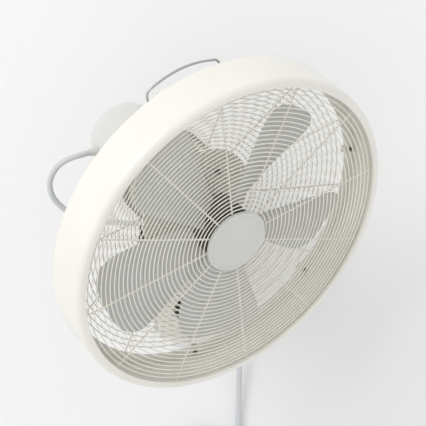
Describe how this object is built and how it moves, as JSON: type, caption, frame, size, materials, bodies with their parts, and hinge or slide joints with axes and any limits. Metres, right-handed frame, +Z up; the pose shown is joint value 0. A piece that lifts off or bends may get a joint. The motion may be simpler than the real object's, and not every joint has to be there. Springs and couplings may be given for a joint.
{
  "type": "wall fan",
  "caption": "Oscillating wall fan: wire-guarded shallow drum with blades and a motor head on a tilting wall arm.",
  "frame": {"origin": "middle of the four wall holes, on the back face of the wall plate", "axes": "+Z up, +Y into the wall, +X to the right as seen from the room"},
  "size_m": [0.4385, 0.5119, 0.7674],
  "materials": {
    "plate_steel": "zinc-plated steel sheet",
    "base_grey": "painted casting, warm light grey",
    "screw_steel": "plated steel fasteners",
    "black_plastic": "matt black moulding",
    "cord_grey": "light grey flexible sheath",
    "nickel": "nickel-plated brass",
    "bearing_bronze": "sintered bronze",
    "bearing_steel": "ground steel",
    "motor_brown": "dark brown cast motor bells",
    "core_steel": "laminated and cast steel",
    "winding_copper": "enamelled copper windings",
    "tail_white": "off-white moulded cover",
    "guard_cream": "cream-white coated wire",
    "drum_cream": "cream-white painted sheet",
    "wire_grey": "plated wire",
    "badge_grey": "light grey moulded badge, bare",
    "hub_dark": "dark painted hub",
    "blade_grey": "grey pressed sheet blades"
  },
  "bodies": {
    "base": {"wall_plate": "plate_steel", "base_housing": "base_grey", "base_screws": "screw_steel", "support_arm": "base_grey", "arm_bolts": "screw_steel", "tilt_bolt": "screw_steel", "tilt_washers": "screw_steel", "speed_switch": "black_plastic", "run_capacitor": "black_plastic", "terminal_block": "black_plastic", "cord_gland": "black_plastic", "supply_cord": "cord_grey", "cord_coil": "cord_grey", "coil_tie": "black_plastic", "plug_lead": "cord_grey", "plug_body": "cord_grey", "plug_pins": "nickel"},
    "dial": {"speed_dial": "black_plastic"},
    "clamp": {"tilt_knob": "black_plastic"},
    "neck": {"neck_bracket": "base_grey", "swivel_bush": "bearing_bronze", "swivel_pin": "screw_steel", "neck_gland": "black_plastic"},
    "head": {"swivel_spindle": "screw_steel", "motor_front_bell": "motor_brown", "motor_rear_bell": "motor_brown", "stator_core": "core_steel", "stator_windings": "winding_copper", "front_bearing": "bearing_steel", "rear_bearing": "bearing_steel", "motor_bolts": "screw_steel", "swing_gearbox": "core_steel", "tail_cover": "tail_white", "head_gland": "tail_white", "motor_lead": "cord_grey", "rear_guard_plate": "guard_cream", "guard_plate_screws": "screw_steel", "rear_guard_spokes": "guard_cream", "rear_guard_rings": "guard_cream", "rear_guard_rim": "guard_cream", "guard_clips": "guard_cream", "clip_screws": "screw_steel", "carry_handle": "wire_grey", "shroud_drum": "drum_cream", "front_guard_rim": "guard_cream", "front_guard_spokes": "guard_cream", "front_guard_rings": "guard_cream", "badge_carrier": "guard_cream", "badge": "badge_grey"},
    "rotor": {"rotor_shaft": "bearing_steel", "rotor_core": "core_steel", "blade_hub": "hub_dark", "hub_cap_nut": "hub_dark", "fan_blades": "blade_grey"}
  },
  "joints": [
    {"name": "head_tilt", "type": "hinge", "parent": "base", "child": "neck", "pos_m": [0, -0.165, 0.085], "axis": [1, 0, 0], "range_deg": [-39.1, 5.9]},
    {"name": "head_swing", "type": "hinge", "parent": "neck", "child": "head", "pos_m": [0, -0.2334, 0.18602], "axis": [0, -0.5606, 0.8281], "range_deg": [-85.5, 4.5]},
    {"name": "blade_spin", "type": "hinge", "parent": "head", "child": "rotor", "pos_m": [0, -0.2334, 0.18602], "axis": [0.6494, -0.6297, -0.4263], "continuous": true},
    {"name": "speed_turn", "type": "hinge", "parent": "base", "child": "dial", "pos_m": [0, -0.055, -0.034], "axis": [0, -1, 0], "range_deg": [-135, 0]},
    {"name": "clamp_turn", "type": "hinge", "parent": "base", "child": "clamp", "pos_m": [0, -0.165, 0.085], "axis": [-1, 0, 0], "range_deg": [0, 180]}
  ]
}
